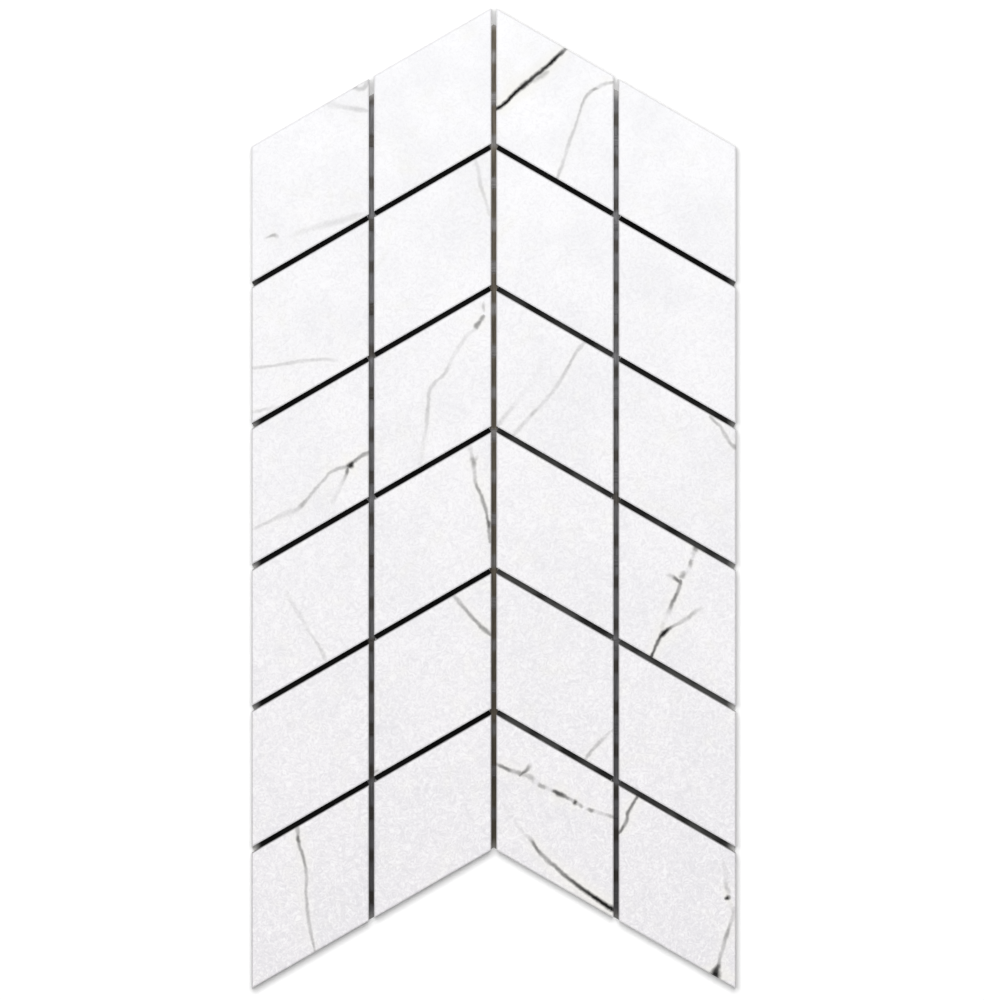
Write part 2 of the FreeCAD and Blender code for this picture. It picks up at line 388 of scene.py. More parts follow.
def stone_colour(tree, place, chip_number):
    """The colour of the marble without its veins, and the clouds in it."""
    parts = add(tree, "ShaderNodeSeparateXYZ", {0: place})
    height = add(tree, "ShaderNodeMapRange", {
        "Value": parts.outputs["Y"], "From Min": -SHEET_EDGE_Y, "From Max": SHEET_EDGE_Y,
    })
    # painted shade: the white is greyer towards the lower rows and lighter towards the peak
    colour = add(tree, "ShaderNodeMix", {
        "Factor": height.outputs[0], 6: linear("#eeebee"), 7: linear("#fdfdff"),
    }, data_type="RGBA").outputs[2]
    here = {"Vector": place, "W": chip_number * NEXT_CHIP}
    clouds = add(tree, "ShaderNodeTexNoise", here | {
        "Scale": 1 / CLOUD_SIZE, "Detail": 3,
    }, noise_dimensions="4D")
    patches = add(tree, "ShaderNodeTexNoise", here | {
        "Scale": 1 / PATCH_SIZE, "Detail": 2, "Distortion": 0.8,
    }, noise_dimensions="4D")
    speckle = add(tree, "ShaderNodeTexNoise", here | {
        "Scale": 1 / SPECKLE_SIZE, "Detail": 2, "Roughness": 0.5, "Distortion": 2.5,
    }, noise_dimensions="4D")
    fleck = add(tree, "ShaderNodeMapRange", {
        "Value": height.outputs[0], "To Min": SPECKLE_AT_BOTTOM, "To Max": SPECKLE_AT_TOP,
    }).outputs[0]
    # where in its noise each layer starts and is full, how strong it gets, and its tint
    layers = (
        (clouds, 0.4, 0.65, 0.3, "#e6e6ea"),
        (patches, 0.55, 0.75, 0.4, "#f3f2ea"),
        (speckle, 0.45, 0.68, fleck, "#dbdade"),
        (speckle, 0.47, 0.3, fleck, "#ffffff"),
    )
    for noise, start, full, most, tint in layers:
        amount = add(tree, "ShaderNodeMapRange", {
            "Value": noise.outputs["Fac"], "From Min": start, "From Max": full, "To Max": most,
        })
        colour = add(tree, "ShaderNodeMix", {
            "Factor": amount.outputs[0], 6: colour, 7: linear(tint),
        }, data_type="RGBA").outputs[2]
    return colour, clouds.outputs["Fac"]


print("speckle repeats about every", SPECKLE_SIZE / MM, "mm")

# %% [markdown]
# Only the face and its arris are polished. Below them the side of a chip is as the
# diamond blade left it: duller, a little greyer and finely scored along the cut. The back
# is ground flat and has a thin, yellowish film of the glue that holds the net. Each could
# be a material on faces of its own. Here the height of a point says which of the three it
# is, because the CAD mesh is left as it is.

# %% Sides and back of a chip
SAWN_FROM, SAWN_EDGE = SHEET_TOP - 0.45 * MM, 0.1 * MM
GLUED_FROM, GLUED_EDGE = 0.54 * MM, 0.3 * MM
SCORE_PITCH, SCORE_LENGTH = 0.45 * MM, 9 * MM


def sides_and_back(tree, place, height):
    """How much a point is sawn and how much it is glued, 0 to 1, and the scores of the saw."""
    sawn = add(tree, "ShaderNodeMapRange", {
        "Value": height, "From Min": SAWN_FROM - SAWN_EDGE, "From Max": SAWN_FROM,
        "To Min": 1, "To Max": 0,
    })
    glued = add(tree, "ShaderNodeMapRange", {
        "Value": height, "From Min": GLUED_FROM, "From Max": GLUED_FROM + GLUED_EDGE,
        "To Min": 1, "To Max": 0,
    })
    scored = add(tree, "ShaderNodeMapping", {
        "Vector": place, "Scale": (1 / SCORE_LENGTH, 1 / SCORE_LENGTH, 1 / SCORE_PITCH),
    })
    scores = add(tree, "ShaderNodeTexNoise", {"Vector": scored.outputs[0], "Scale": 1, "Detail": 3})
    scores = add(tree, "ShaderNodeMath", {
        0: scores.outputs["Fac"], 1: sawn.outputs[0],
    }, operation="MULTIPLY")
    return sawn.outputs[0], glued.outputs[0], scores.outputs[0]


print("sawn below, mm:", round(SAWN_FROM / MM, 2), "and glued below, mm:", round(GLUED_FROM / MM, 2))

# %% [markdown]
# The arris and the sides in the joints are painted a dark grey, most on the upper edges
# and on the lower rows, which makes the joints look a little wider and darker there. This
# grey is painted shade in the joints between the chips. The sheet's own sides and the chips
# of the top row are left without it. It could be drawn as an image. Here it is a product of
# shares from 0 to 1, one for each of the things that it goes by: which way the surface
# faces, how low on the sheet it is, how far down the arris, and whether it is above the
# glued back and inside the sheet's own sides.

# %% Painted shade in the joints
ARRIS = 0.4 * MM
DUST_AT_TOP, DUST_AT_BOTTOM = 0.5, 0.95
SHADE_SLOPE = 0.6
UNSHADED_SKIN = 0.05 * MM


def painted_joint_shade(tree, parts, glued, painted_shade):
    """How much painted shade darkens a point of a chip, 0 to 1. The last argument is 0 where a chip has
    none.
    """
    facing = add(tree, "ShaderNodeSeparateXYZ", {
        0: add(tree, "ShaderNodeNewGeometry").outputs["True Normal"],
    })
    # painted shade: grey by facing, by row, by depth down the arris, inside the joints
    painted_grey = add(tree, "ShaderNodeMapRange", {
        "Value": facing.outputs["Y"], "From Min": -SHADE_SLOPE, "From Max": SHADE_SLOPE, "To Max": painted_shade,
    })
    lower_down = add(tree, "ShaderNodeMapRange", {
        "Value": parts.outputs["Y"], "From Min": -SHEET_EDGE_Y, "From Max": SHEET_EDGE_Y,
        "To Min": DUST_AT_BOTTOM, "To Max": DUST_AT_TOP,
    })
    on_arris = add(tree, "ShaderNodeMapRange", {
        "Value": parts.outputs["Z"], "From Min": SHEET_TOP - ARRIS, "From Max": SHEET_TOP,
        "To Min": 1, "To Max": 0,
    })
    above_back = add(tree, "ShaderNodeMath", {0: 1, 1: glued}, operation="SUBTRACT")
    outwards = add(tree, "ShaderNodeMath", {0: parts.outputs["X"]}, operation="ABSOLUTE")
    in_joint = add(tree, "ShaderNodeMapRange", {
        "Value": outwards.outputs[0], "From Min": SHEET_SIDE - UNSHADED_SKIN, "From Max": SHEET_SIDE,
        "To Min": 1, "To Max": 0,
    })
    for share in (lower_down, on_arris, above_back, in_joint):
        painted_grey = add(tree, "ShaderNodeMath", {
            0: painted_grey.outputs[0], 1: share.outputs[0],
        }, operation="MULTIPLY")
    return painted_grey.outputs[0]


print("most dust: from", DUST_AT_TOP, "at the peak to", DUST_AT_BOTTOM, "at the lower edge")

# %% [markdown]
# The finish of a chip is the stone's colour with thin coats over it, each laid on by a Mix
# node: the cream halo and the dark core of the veins, the bruised stone of the sawn sides,
# the film of glue, the painted shade in the joints, and the grey streaks of the scores.
# Calcite has an IOR of about 1.5, and its polish is soft, so the face is smooth but not
# like glass.

# %% Marble
HALO_SHARE, BRUISED_SHARE = 0.5, 0.35
POLISHED_ROUGHNESS = (0.16, 0.26)
SAWN_ROUGHNESS = 0.65
SCORE_DEPTH = 0.08 * MM


def marble(name, veins, chip_number, painted_shade):
    """White marble with the veins of one chip, polished on its face and sawn on its sides."""
    material, tree = new_material(name)
    place = add(tree, "ShaderNodeTexCoord").outputs["Object"]
    parts = add(tree, "ShaderNodeSeparateXYZ", {0: place})
    colour, clouds = stone_colour(tree, place, chip_number)
    coats = []
    if veins:
        dark, halo = add_veins(tree, place, veins)
        halo = add(tree, "ShaderNodeMath", {0: halo, 1: HALO_SHARE}, operation="MULTIPLY")
        coats = [(halo.outputs[0], "#f4f2e9"), (dark, "#171716")]
    sawn, glued, scores = sides_and_back(tree, place, parts.outputs["Z"])
    bruised = add(tree, "ShaderNodeMath", {0: sawn, 1: BRUISED_SHARE}, operation="MULTIPLY")
    filmed = add(tree, "ShaderNodeMath", {0: glued, 1: clouds}, operation="MULTIPLY")
    streaks = add(tree, "ShaderNodeMapRange", {
        "Value": scores, "From Min": 0.45, "From Max": 0.65, "To Max": 0.4,
    })
    # the grey coat of painted shade goes on with the coats of the stone
    coats += [
        (bruised.outputs[0], "#efeff0"), (filmed.outputs[0], "#d9d2bf"),
        (painted_joint_shade(tree, parts, glued, painted_shade), "#5f5d5b"), (streaks.outputs[0], "#c2c2c3"),
    ]
    for amount, tint in coats:
        colour = add(tree, "ShaderNodeMix", {
            "Factor": amount, 6: colour, 7: linear(tint),
        }, data_type="RGBA").outputs[2]
    polish = add(tree, "ShaderNodeMapRange", {
        "Value": clouds, "From Min": 0.3, "From Max": 0.7,
        "To Min": POLISHED_ROUGHNESS[0], "To Max": POLISHED_ROUGHNESS[1],
    })
    roughness = add(tree, "ShaderNodeMix", {
        "Factor": sawn, 2: polish.outputs[0], 3: SAWN_ROUGHNESS,
    }, data_type="FLOAT")
    relief = add(tree, "ShaderNodeBump", {"Height": scores, "Strength": 0.6, "Distance": SCORE_DEPTH})
    shader = add(tree, "ShaderNodeBsdfPrincipled", {
        "Base Color": colour, "Roughness": roughness.outputs[0], "IOR": 1.5,
        "Normal": relief.outputs[0],
    })
    add(tree, "ShaderNodeOutputMaterial", {"Surface": shader.outputs[0]})
    return material


chips = sorted(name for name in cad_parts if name.startswith("chip"))
for number, name in enumerate(chips):
    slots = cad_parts[name].data.materials
    slots.clear()
    # the chips of the top row get no painted shade
    painted_shade = 0 if name.endswith("row_1") else 1
    slots.append(marble("polished_marble_" + name, VEINS.get(name, []), number, painted_shade))
print("chips in marble:", len(chips))

# %% [markdown]
# The strips deep in the slanted joints are matte black plastic. On the left of the peak
# they are nearly plain black. On the right, grey patches are painted on them, more and more
# towards the lower rows: painted light, where more of the lamp reaches into those joints.
# White is painted on the last few millimetres of each row, at the sheet's side: painted
# light that comes in at the joint's open end. So one function makes the finish, and the
# amounts of painted grey along the strip and of painted white at the side are its settings.

# %% Black plastic
LIGHT_PATCH = 9 * MM
DUST_GRAIN = 0.9 * MM
LEAST_LIGHT, MOST_LIGHT = 0.35, 1.2
WHITE_FROM, WHITE_FULL = 72.3 * MM, 75.2 * MM
MOULDED_DEPTH = 0.05 * MM


def black_plastic(name, painted_grey, painted_white):
    """Matte black plastic with shares, 0 to 1, of painted grey light on it and of painted white light at
    its end.
    """
    material, tree = new_material(name)
    place = add(tree, "ShaderNodeTexCoord").outputs["Object"]
    patches = add(tree, "ShaderNodeTexNoise", {"Vector": place, "Scale": 1 / LIGHT_PATCH, "Detail": 1})
    grains = add(tree, "ShaderNodeTexNoise", {"Vector": place, "Scale": 1 / DUST_GRAIN, "Detail": 3})
    painted_light_patches = add(tree, "ShaderNodeMapRange", {
        "Value": patches.outputs["Fac"], "From Min": 0.38, "From Max": 0.56,
        "To Min": LEAST_LIGHT * painted_grey, "To Max": MOST_LIGHT * painted_grey,
    })
    across = add(tree, "ShaderNodeSeparateXYZ", {0: place}).outputs["X"]
    outwards = add(tree, "ShaderNodeMath", {0: across}, operation="ABSOLUTE")
    lit_end = add(tree, "ShaderNodeMapRange", {
        "Value": outwards.outputs[0], "From Min": WHITE_FROM, "From Max": WHITE_FULL,
        "To Max": painted_white,
    }, interpolation_type="SMOOTHSTEP")
    colour = linear("#060606")
    # painted light: the grey patches and the white at the end; the fine grains are the plastic's own
    coats = (
        (grains.outputs["Fac"], "#111110"),
        (painted_light_patches.outputs[0], "#676766"), (lit_end.outputs[0], "#e0dfdd"),
    )
    for amount, tint in coats:
        colour = add(tree, "ShaderNodeMix", {
            "Factor": amount, 6: colour, 7: linear(tint),
        }, data_type="RGBA").outputs[2]
    relief = add(tree, "ShaderNodeBump", {
        "Height": grains.outputs["Fac"], "Strength": 0.4, "Distance": MOULDED_DEPTH,
    })
    shader = add(tree, "ShaderNodeBsdfPrincipled", {
        "Base Color": colour, "Roughness": 0.7, "IOR": 1.5,
        "Specular IOR Level": 0.25, "Normal": relief.outputs[0],
    })
    add(tree, "ShaderNodeOutputMaterial", {"Surface": shader.outputs[0]})
    return material


# the white on the last millimetres is painted light
print("white dust on the last", round((SHEET_SIDE - WHITE_FROM) / MM, 1), "mm at each side")

# %% [markdown]
# Each joint has a pair of amounts of painted light, the grey and the white, from the top
# joint to the bottom one. The inner and the outer strip of a joint share one finish.

# %% Dressing the strips
# per joint: painted grey light along the strip, painted white light at its end
PAINTED_LIGHT_BY_JOINT = {
    "left": ((0.05, 0.12), (0.05, 0.45), (0.05, 0.75), (0.05, 0.55), (0.05, 1)),
    "right": ((0.05, 0.2), (0.36, 0.35), (0.52, 0.45), (0.7, 0.9), (0.66, 0.9)),
}
strips = sorted(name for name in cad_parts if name.startswith("strip"))
for side, amounts in PAINTED_LIGHT_BY_JOINT.items():
    for joint, (painted_grey, painted_white) in enumerate(amounts, start=1):
        finish = black_plastic(f"matte_black_plastic_{side}_{joint}", painted_grey, painted_white)
        for name in strips:
            if name.startswith("strip_" + side) and name.endswith(str(joint)):
                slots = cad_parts[name].data.materials
                slots.clear()
                slots.append(finish)
print("strips:", len(strips))

# %% [markdown]
# The net is cloth, and the CAD model holds it as one flat grid. Here it is woven: flat
# yarns of glass fibre that pass over and under each other. A yarn is a flat oval ring,
# swept along its length by a spin that only moves and doesn't turn. Then its points rise
# and fall like a wave with one crest or trough at every crossing. The wave is cut off at
# its tops, so that a yarn lies flat where it crosses another, and both together are as
# thick as the CAD net.

# %% Yarns
NET_THICKNESS = 0.5 * MM
LONG_PITCH, LONG_WIDTH = 12.7 * MM, 2.6 * MM
CROSS_PITCH, CROSS_WIDTH = 13.1 * MM, 3.7 * MM
RING_POINTS = 10
STEPS_PER_PITCH = 8
UNCUT_WAVE = 1.3


def weave_yarn(start, end, width, pitch, first_crossing, side):
    """A flat yarn along Y. side is 1 where it lies over its first crossing, or -1 under it."""
    yarn = bmesh.new()
    bmesh.ops.create_circle(yarn, radius=1, segments=RING_POINTS)
    bmesh.ops.scale(yarn, vec=(width / 2, NET_THICKNESS / 4, 1), verts=yarn.verts)
    bmesh.ops.rotate(yarn, matrix=Matrix.Rotation(math.pi / 2, 3, "X"), verts=yarn.verts)
    bmesh.ops.translate(yarn, vec=(0, start, 0), verts=yarn.verts)
    steps = round((end - start) / pitch * STEPS_PER_PITCH)
    bmesh.ops.spin(
        yarn, geom=yarn.verts[:] + yarn.edges[:], axis=(0, 0, 1),
        dvec=(0, (end - start) / steps, 0), angle=0, steps=steps,
    )
    for vert in yarn.verts:
        wave = UNCUT_WAVE * math.cos(math.pi * (vert.co.y - first_crossing) / pitch)
        vert.co.z += NET_THICKNESS / 2 + side * NET_THICKNESS / 4 * max(-1, min(1, wave))
    return yarn


trial = weave_yarn(0, 26 * MM, LONG_WIDTH, CROSS_PITCH, 0, 1)
print("points in a short yarn:", len(trial.verts))
trial.free()

# %% [markdown]
# The net is the same on both sides of the peak, so only the right half is woven, and all
# its yarns are made longer than needed. The yarns that run across are made along Y as well
# and turned afterwards. A face's material number says which kind of yarn it is on. The
# cross yarns have the number of their finish already, and the lengthwise yarns get theirs
# when the net is dressed.

# %% Weaving half the net
LONG_YARNS, CROSS_YARNS = 6, 11
LONG_REACH, CROSS_REACH = 160 * MM, 80 * MM
PAST_MIDDLE = 10 * MM
LENGTHWISE, CROSSWISE = 0, 3

cloth = bmesh.new()
net_mesh = bpy.data.meshes.new("woven_net")


def lay_in(yarn, x, y, kind):
    """Moves a finished yarn to its place in the cloth."""
    bmesh.ops.translate(yarn, vec=(x, y, 0), verts=yarn.verts)
    for face in yarn.faces:
        face.material_index = kind
    yarn.to_mesh(net_mesh)
    yarn.free()
    cloth.from_mesh(net_mesh)


for step in range(LONG_YARNS):
    over = (-1) ** step
    yarn = weave_yarn(-LONG_REACH, LONG_REACH, LONG_WIDTH, CROSS_PITCH, CROSS_PITCH / 2, over)
    lay_in(yarn, step * LONG_PITCH, 0, LENGTHWISE)
for step in range(-CROSS_YARNS, CROSS_YARNS):
    over = -((-1) ** step)
    yarn = weave_yarn(-CROSS_REACH, PAST_MIDDLE, CROSS_WIDTH, LONG_PITCH, 0, over)
    bmesh.ops.rotate(yarn, matrix=Matrix.Rotation(math.pi / 2, 3, "Z"), verts=yarn.verts)
    lay_in(yarn, 0, (step + 0.5) * CROSS_PITCH, CROSSWISE)
print("faces woven:", len(cloth.faces))

# %% [markdown]
# Bisect cuts the cloth on a plane and drops what lies outside. Its cut edges are closed
# loops around each yarn, and filling them gives the yarns their flat ends. The net stops
# short of the sheet's sides and of its slanted edges, which would meet over the middle
# joint at SHEET_PEAK and SHEET_NOTCH. The middle yarn is whole while the slanted cuts are
# made, and only then cut in half for the mirror, so its last cut stays open.

# %% Cutting the net and mirroring it
SLANT = math.radians(30)
SHEET_PEAK, SHEET_NOTCH = 153.052 * MM, -109.059 * MM
SHORT_OF_PEAK, SHORT_OF_NOTCH = 4.6 * MM, 1.0 * MM
NET_PEAK = SHEET_PEAK - SHORT_OF_PEAK / math.cos(SLANT)
NET_NOTCH = SHEET_NOTCH + SHORT_OF_NOTCH / math.cos(SLANT)
NET_SIDE = 74.4 * MM
TOUCHING = 1e-6
ON_PLANE = 1e-7


def everything(shape):
    """All points, edges and faces of a shape."""
    return shape.verts[:] + shape.edges[:] + shape.faces[:]


def cut(shape, point, outward, close=True):
    """Cuts the shape on a plane, keeps what lies inside it, and closes the ends."""
    result = bmesh.ops.bisect_plane(
        shape, geom=everything(shape), dist=ON_PLANE, plane_co=point, plane_no=outward, clear_outer=True,
    )
    if close:
        edges = [part for part in result["geom_cut"] if isinstance(part, bmesh.types.BMEdge)]
        bmesh.ops.edgeloop_fill(shape, edges=edges)


across_rows = Vector((math.sin(SLANT), math.cos(SLANT), 0))
cut(cloth, (NET_SIDE, 0, 0), (1, 0, 0))
cut(cloth, (0, NET_PEAK, 0), across_rows)
cut(cloth, (0, NET_NOTCH, 0), -across_rows)
cut(cloth, (0, 0, 0), (-1, 0, 0), close=False)
bmesh.ops.mirror(cloth, geom=everything(cloth), matrix=Matrix(), merge_dist=TOUCHING, axis="X")
bmesh.ops.remove_doubles(cloth, verts=cloth.verts, dist=TOUCHING)
bmesh.ops.recalc_face_normals(cloth, faces=cloth.faces)
print("faces in the net:", len(cloth.faces), "open edges:", sum(edge.is_boundary for edge in cloth.edges))

# %% [markdown]
# The net was cut with shears, so its ends aren't all in line. The ends that show are in the
# upright joints: the right one reaches nearer to the sheet's edge at the top, and all three
# reach almost to the edge at the notch. Only the points of those cut ends move. An end is
# found by its height, which is measured along the slant, as if the rows ran level.

# %% Longer ends
LONGER_ABOVE = 1.5 * MM
LONGER_BELOW = 1.0 * MM
LEFT_JOINT, MIDDLE_JOINT, RIGHT_JOINT = -3, 0, 3


def yarn_of(face):
    """The number of a face's lengthwise yarn, counted to the right from the middle one."""
    return round(face.calc_center_median().x / LONG_PITCH)


def lengthen(yarns, is_end, by):
    """Moves the cut ends of some lengthwise yarns along Y. is_end picks them by their height."""
    ends = {
        vert for face in cloth.faces if face.material_index == LENGTHWISE and yarn_of(face) in yarns
        for vert in face.verts if is_end(abs(vert.co.x) * math.tan(SLANT) + vert.co.y)
    }
    bmesh.ops.translate(cloth, vec=(0, by, 0), verts=list(ends))
    print("points moved at the ends of", len(yarns), "yarns:", len(ends))


lengthen((RIGHT_JOINT,), lambda height: height > NET_PEAK - TOUCHING, LONGER_ABOVE)
lengthen(
    (LEFT_JOINT, MIDDLE_JOINT, RIGHT_JOINT),
    lambda height: height < NET_NOTCH + TOUCHING, -LONGER_BELOW,
)

# %% [markdown]
# Glass fibre yarn is a flat bundle of hundreds of filaments, bound with a matte resin. Seen
# between the chips it is grey, and it is darker and browner wherever more resin or glue has
# soaked in, which comes in bands at the pitch of the weave. Ping-pong gives the distance to
# the nearest band, and a noise makes the band's edge wander. The cut ends are painted pale:
# most near the peak, and a little at the notch. That is painted light, coming in at the
# open ends of the joints.

# %% Bands and painted light at the ends
EDGE_SIZE, EDGE_WANDER = 2.5 * MM, 0.6 * MM
EDGE_SOFTNESS = 0.7 * MM
PEAK_LIGHT_LENGTH, NOTCH_LIGHT_LENGTH = 2 * MM, 2.2 * MM
NOTCH_LIGHT_SHARE = 0.32


def resin_band(tree, place, along, band_at, band_width, band_pitch):
    """How much of a point lies in a band of resin, 0 to 1."""
    off = add(tree, "ShaderNodeMath", {0: along, 1: band_at}, operation="SUBTRACT")
    off = add(tree, "ShaderNodeMath", {0: off.outputs[0], 1: band_pitch / 2}, operation="PINGPONG")
    edge = add(tree, "ShaderNodeTexNoise", {"Vector": place, "Scale": 1 / EDGE_SIZE, "Detail": 1})
    edge = add(tree, "ShaderNodeMapRange", {
        "Value": edge.outputs["Fac"], "To Min": -EDGE_WANDER, "To Max": EDGE_WANDER,
    })
    off = add(tree, "ShaderNodeMath", {0: off.outputs[0], 1: edge.outputs[0]}, operation="ADD")
    return add(tree, "ShaderNodeMapRange", {
        "Value": off.outputs[0],
        "From Min": band_width / 2 - EDGE_SOFTNESS, "From Max": band_width / 2 + EDGE_SOFTNESS,
        "To Min": 1, "To Max": 0,
    }).outputs[0]


def painted_light_at_cut_ends(tree, parts):
    """How much painted light lies on a point near the net's cut edges, 0 to 1."""
    outwards = add(tree, "ShaderNodeMath", {0: parts.outputs["X"]}, operation="ABSOLUTE")
    up_slope = add(tree, "ShaderNodeMath", {
        0: outwards.outputs[0], 1: math.tan(SLANT), 2: parts.outputs["Y"],
    }, operation="MULTIPLY_ADD")
    lit_at_peak = add(tree, "ShaderNodeMapRange", {
        "Value": up_slope.outputs[0],
        "From Min": NET_PEAK - PEAK_LIGHT_LENGTH, "From Max": NET_PEAK + LONGER_ABOVE,
    })
    lit_at_notch = add(tree, "ShaderNodeMapRange", {
        "Value": up_slope.outputs[0],
        "From Min": NET_NOTCH + NOTCH_LIGHT_LENGTH, "From Max": NET_NOTCH - LONGER_BELOW,
        "To Max": NOTCH_LIGHT_SHARE,
    })
    return add(tree, "ShaderNodeMath", {
        0: lit_at_peak.outputs[0], 1: lit_at_notch.outputs[0],
    }, operation="MAXIMUM").outputs[0]


print("pale ends at the peak, mm:", round((PEAK_LIGHT_LENGTH + LONGER_ABOVE) / MM, 1))

# %% [markdown]
# The finish of a yarn has two tones, one for its ground and one for its bands, and each
# goes from a dark one at the sheet's lower edge to a lighter one at its peak. That
# darkening towards the lower edge is painted shade of the light falling off down the
# joints. A noise stretched along the yarn draws the filaments, bundled coarser than they
# are, so that they show. The same noise gives the relief.

# %% Yarn finish
FILAMENT_SIZE = 0.5 * MM
FILAMENT_LENGTH = 7 * MM
FILAMENT_DEPTH = 0.06 * MM


def yarn_finish(name, axis, ground, band, band_at, band_width, band_pitch, right=None):
    """Resin-bound glass fibre along an axis. Its tones each go from the lower edge up, darker below as
    painted shade.

    Where right is given, the ground turns into that tone to the right of the middle.
    """
    material, tree = new_material(name)
    place = add(tree, "ShaderNodeTexCoord").outputs["Object"]
    parts = add(tree, "ShaderNodeSeparateXYZ", {0: place})
    height = add(tree, "ShaderNodeMapRange", {
        "Value": parts.outputs["Y"], "From Min": -SHEET_EDGE_Y, "From Max": SHEET_EDGE_Y,
    })
    # painted shade: each tone darkens from the peak down to the lower edge
    tones = [
        add(tree, "ShaderNodeMix", {
            "Factor": height.outputs[0], 6: linear(low), 7: linear(high),
        }, data_type="RGBA").outputs[2]
        for low, high in (ground, band, right or ground)
    ]
    rightwards = add(tree, "ShaderNodeMapRange", {
        "Value": parts.outputs["X"], "From Min": LONG_PITCH, "From Max": 2 * LONG_PITCH,
    })
    stretch = [1 / FILAMENT_SIZE] * 3
    stretch["XYZ".index(axis)] = 1 / FILAMENT_LENGTH
    strands = add(tree, "ShaderNodeMapping", {"Vector": place, "Scale": stretch})
    strands = add(tree, "ShaderNodeTexNoise", {"Vector": strands.outputs[0], "Scale": 1, "Detail": 2})
    shade = add(tree, "ShaderNodeMapRange", {
        "Value": strands.outputs["Fac"], "From Min": 0.35, "From Max": 0.65,
        "To Min": 0.42, "To Max": 0,
    })
    in_band = resin_band(tree, place, parts.outputs[axis], band_at, band_width, band_pitch)
    colour = tones[0]
    # painted light: the last coat makes the net's cut ends pale
    coats = (
        (rightwards.outputs[0], tones[2]), (in_band, tones[1]),
        (shade.outputs[0], linear("#3a3630")), (painted_light_at_cut_ends(tree, parts), linear("#dedddb")),
    )
    for amount, tint in coats:
        colour = add(tree, "ShaderNodeMix", {
            "Factor": amount, 6: colour, 7: tint,
        }, data_type="RGBA").outputs[2]
    relief = add(tree, "ShaderNodeBump", {
        "Height": strands.outputs["Fac"], "Strength": 0.7, "Distance": FILAMENT_DEPTH,
    })
    shader = add(tree, "ShaderNodeBsdfPrincipled", {
        "Base Color": colour, "Roughness": 0.6, "IOR": 1.52, "Normal": relief.outputs[0],
    })
    add(tree, "ShaderNodeOutputMaterial", {"Surface": shader.outputs[0]})
    return material


print("filaments drawn", FILAMENT_SIZE / MM, "mm wide")

# %% [markdown]
# Three finishes serve the lengthwise yarns and one the cross yarns. The yarn under the left
# joint has dark bands where the cross yarns lie, the one under the right joint has them
# halfway between, and the middle yarn is soaked all along, with pale bands where the cross
# yarns lie. A cross yarn has a single band, under the left joint, so its pitch is wider
# than the net. The yarns under the chips, which only show from the back, take turns.

# %% Dressing the net
# each pair runs from the lower edge to the peak; the darker lower tone is painted shade
GREY = ("#5a595c", "#a8a8ab")
BROWN = ("#3a3734", "#7c7874")
OLIVE = ("#4d473b", "#948b7d")
PALE = ("#514e4d", "#bfbcba")
DARK_BAND, CROSS_BAND = 4.2 * MM, 5 * MM
ONE_BAND = 400 * MM
ON_CROSSINGS, BETWEEN_CROSSINGS = CROSS_PITCH / 2, 0
UNDER_LEFT_JOINT = LEFT_JOINT * LONG_PITCH
finishes = [
    yarn_finish("resin_banded_yarn", "Y", GREY, BROWN, ON_CROSSINGS, DARK_BAND, CROSS_PITCH),
    yarn_finish("resin_soaked_yarn", "Y", OLIVE, PALE, ON_CROSSINGS, CROSS_WIDTH, CROSS_PITCH),
    yarn_finish(
        "resin_banded_yarn_between", "Y", GREY, BROWN, BETWEEN_CROSSINGS, DARK_BAND, CROSS_PITCH,
    ),
    yarn_finish("cross_yarn", "X", PALE, BROWN, UNDER_LEFT_JOINT, CROSS_BAND, ONE_BAND, right=GREY),
]
FINISH_OF_YARN = {LEFT_JOINT: 0, MIDDLE_JOINT: 1, RIGHT_JOINT: 2}
for face in cloth.faces:
    if face.material_index == LENGTHWISE:
        yarn = yarn_of(face)
        face.material_index = FINISH_OF_YARN.get(yarn, yarn % 3)
    # the sides are smooth, and the cut ends, which have more corners, stay flat
    face.smooth = len(face.verts) < RING_POINTS - 1
cloth.to_mesh(net_mesh)
cloth.free()
for finish in finishes:
    net_mesh.materials.append(finish)
net = bpy.data.objects.new("woven_net", net_mesh)
bpy.context.scene.collection.objects.link(net)
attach(net, "root")
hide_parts("backing_net")
print("net, mm:", [round(size / MM, 2) for size in net.dimensions])

# %% [markdown]
# The sheet lies on a plain white floor. In the photograph the floor is burnt out to pure
# white, and only the shadow close to the sheet shows. So the camera alone sees the floor a
# touch over full white. Every other ray sees a pale grey paint, which keeps light off the
# object, and the shadow stays because it falls on both.

# %% Floor
FLOOR_HALF = 6
FLOOR_WHITE = 1.03


def white_floor():
    """Matt pale grey paint, a touch over full white to the camera alone."""
    material, tree = new_material("white_floor")
    path = add(tree, "ShaderNodeLightPath")
    white = add(tree, "ShaderNodeMix", {
        "Factor": path.outputs["Is Camera Ray"], 6: linear("#bcbcbc"),
        7: (FLOOR_WHITE, FLOOR_WHITE, FLOOR_WHITE, 1),
    }, data_type="RGBA")
    diffuse = add(tree, "ShaderNodeBsdfDiffuse", {"Color": white.outputs[2]})
    add(tree, "ShaderNodeOutputMaterial", {"Surface": diffuse.outputs[0]})
    return material


floor_mesh = bpy.data.meshes.new("floor")
floor_shape = bmesh.new()
bmesh.ops.create_grid(floor_shape, x_segments=1, y_segments=1, size=FLOOR_HALF)
floor_shape.to_mesh(floor_mesh)
floor_shape.free()
floor = bpy.data.objects.new("floor", floor_mesh)
floor_mesh.materials.append(white_floor())
bpy.context.scene.collection.objects.link(floor)
print("floor, m:", [round(size, 1) for size in floor.dimensions])

# %% [markdown]
# A fifth of the light is an even white studio all round. To the camera that studio is full
# white. What the polish mirrors is kept apart: low down it sees white walls, and straight
# up a dark ceiling with the camera, so the dark veins stay dark.

# %% Studio
STUDIO_LIGHT = 0.21
WALLS_UP_TO, CEILING_FROM = 0.6, 0.97
MIRRORED_CEILING = 0.15

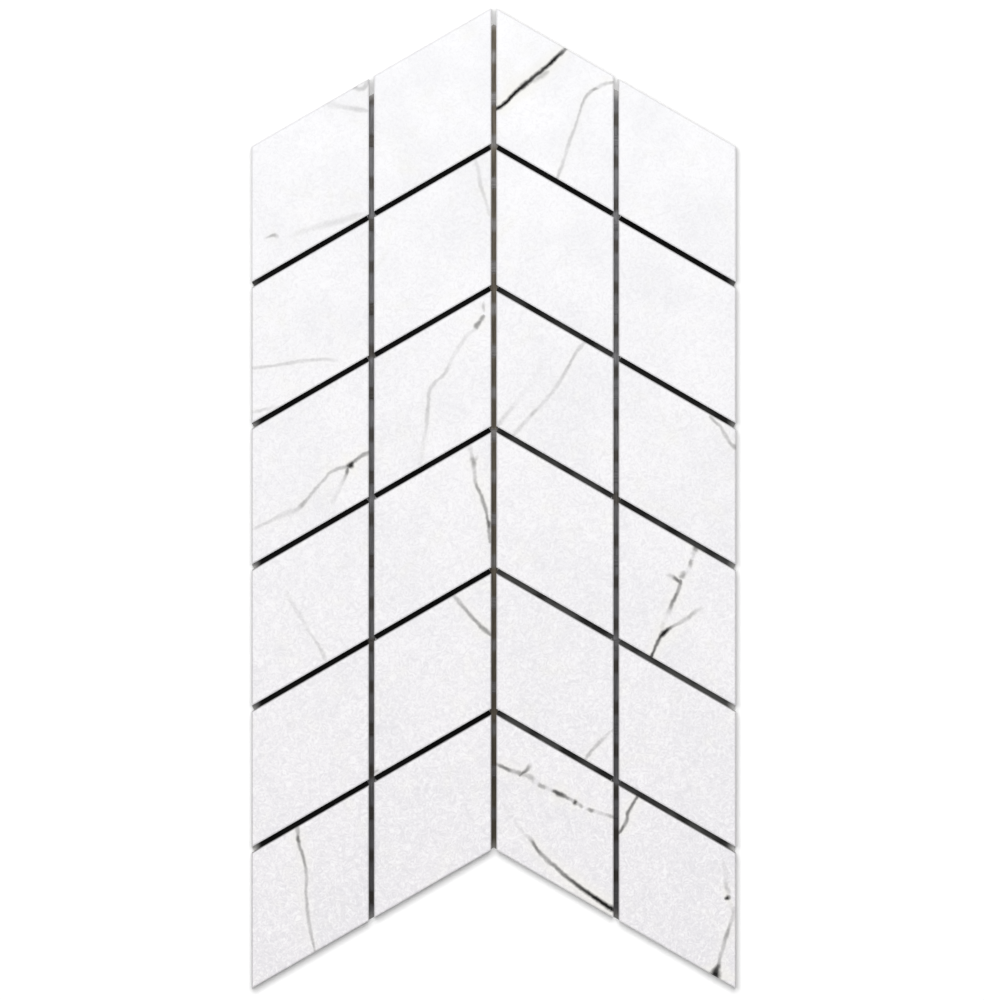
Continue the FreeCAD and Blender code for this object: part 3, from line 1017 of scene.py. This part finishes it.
scene = bpy.context.scene
scene.view_settings.view_transform = "Standard"
world = bpy.data.worlds.new("studio")
world.use_nodes = True
scene.world = world
room = world.node_tree
room.nodes.clear()
path = add(room, "ShaderNodeLightPath")
heading = add(room, "ShaderNodeTexCoord").outputs["Generated"]
heading = add(room, "ShaderNodeSeparateXYZ", {0: heading})
mirrored = add(room, "ShaderNodeMapRange", {
    "Value": heading.outputs["Z"], "From Min": WALLS_UP_TO, "From Max": CEILING_FROM,
    "To Min": 1, "To Max": MIRRORED_CEILING,
})
strength = add(room, "ShaderNodeMix", {
    "Factor": path.outputs["Is Glossy Ray"], 2: STUDIO_LIGHT, 3: mirrored.outputs[0],
}, data_type="FLOAT")
strength = add(room, "ShaderNodeMix", {
    "Factor": path.outputs["Is Camera Ray"], 2: strength.outputs[0], 3: 1.0,
}, data_type="FLOAT")
sky = add(room, "ShaderNodeBackground", {"Color": linear("#ffffff"), "Strength": strength.outputs[0]})
add(room, "ShaderNodeOutputWorld", {"Surface": sky.outputs[0]})
print("studio light:", STUDIO_LIGHT, "of full white")

# %% [markdown]
# The rest is one wide soft lamp nearly five metres up, a little towards the peak and to the
# left, so the shadow falls short and soft below the sheet and to its right. With the studio
# it lights white paint as white. The lamp isn't mirrored, as through a polarising filter.

# %% Lamp
LAMP_PLACE = (-0.18, 0.58, 4.8)
LAMP_WIDTH = 1.97
LAMP_WATTS = 203

lamp_data = bpy.data.lights.new("soft_lamp", "AREA")
lamp_data.shape = "DISK"
lamp_data.size = LAMP_WIDTH
lamp_data.energy = LAMP_WATTS
lamp = bpy.data.objects.new("soft_lamp", lamp_data)
lamp.location = LAMP_PLACE
lamp.rotation_euler = (-lamp.location).to_track_quat("-Z", "Y").to_euler()
lamp.visible_glossy = False
scene.collection.objects.link(lamp)
print("lamp distance, m:", round(lamp.location.length, 2))

# %% [markdown]
# The photograph looks straight down. Its scale comes from the object: a pixel is 0.3114 mm
# on the polished faces. A very long lens from nearly nine metres away gives that scale with
# almost no perspective, and the camera stands half a millimetre off the sheet's middle, as
# there.

# %% Camera
PIXEL = 0.3114 * MM
IMAGE_HEIGHT = 1000
LENS, SENSOR = 1000, 36
OFF_MIDDLE = -0.56 * MM

camera_data = bpy.data.cameras.new("camera")
camera_data.lens = LENS
camera_data.sensor_width = SENSOR
camera_data.clip_end = 100
camera = bpy.data.objects.new("camera", camera_data)
distance = IMAGE_HEIGHT * PIXEL * LENS / SENSOR
camera.location = (OFF_MIDDLE, OFF_MIDDLE, SHEET_TOP + distance)
scene.collection.objects.link(camera)
scene.camera = camera
print("camera above the faces, m:", round(distance, 3))
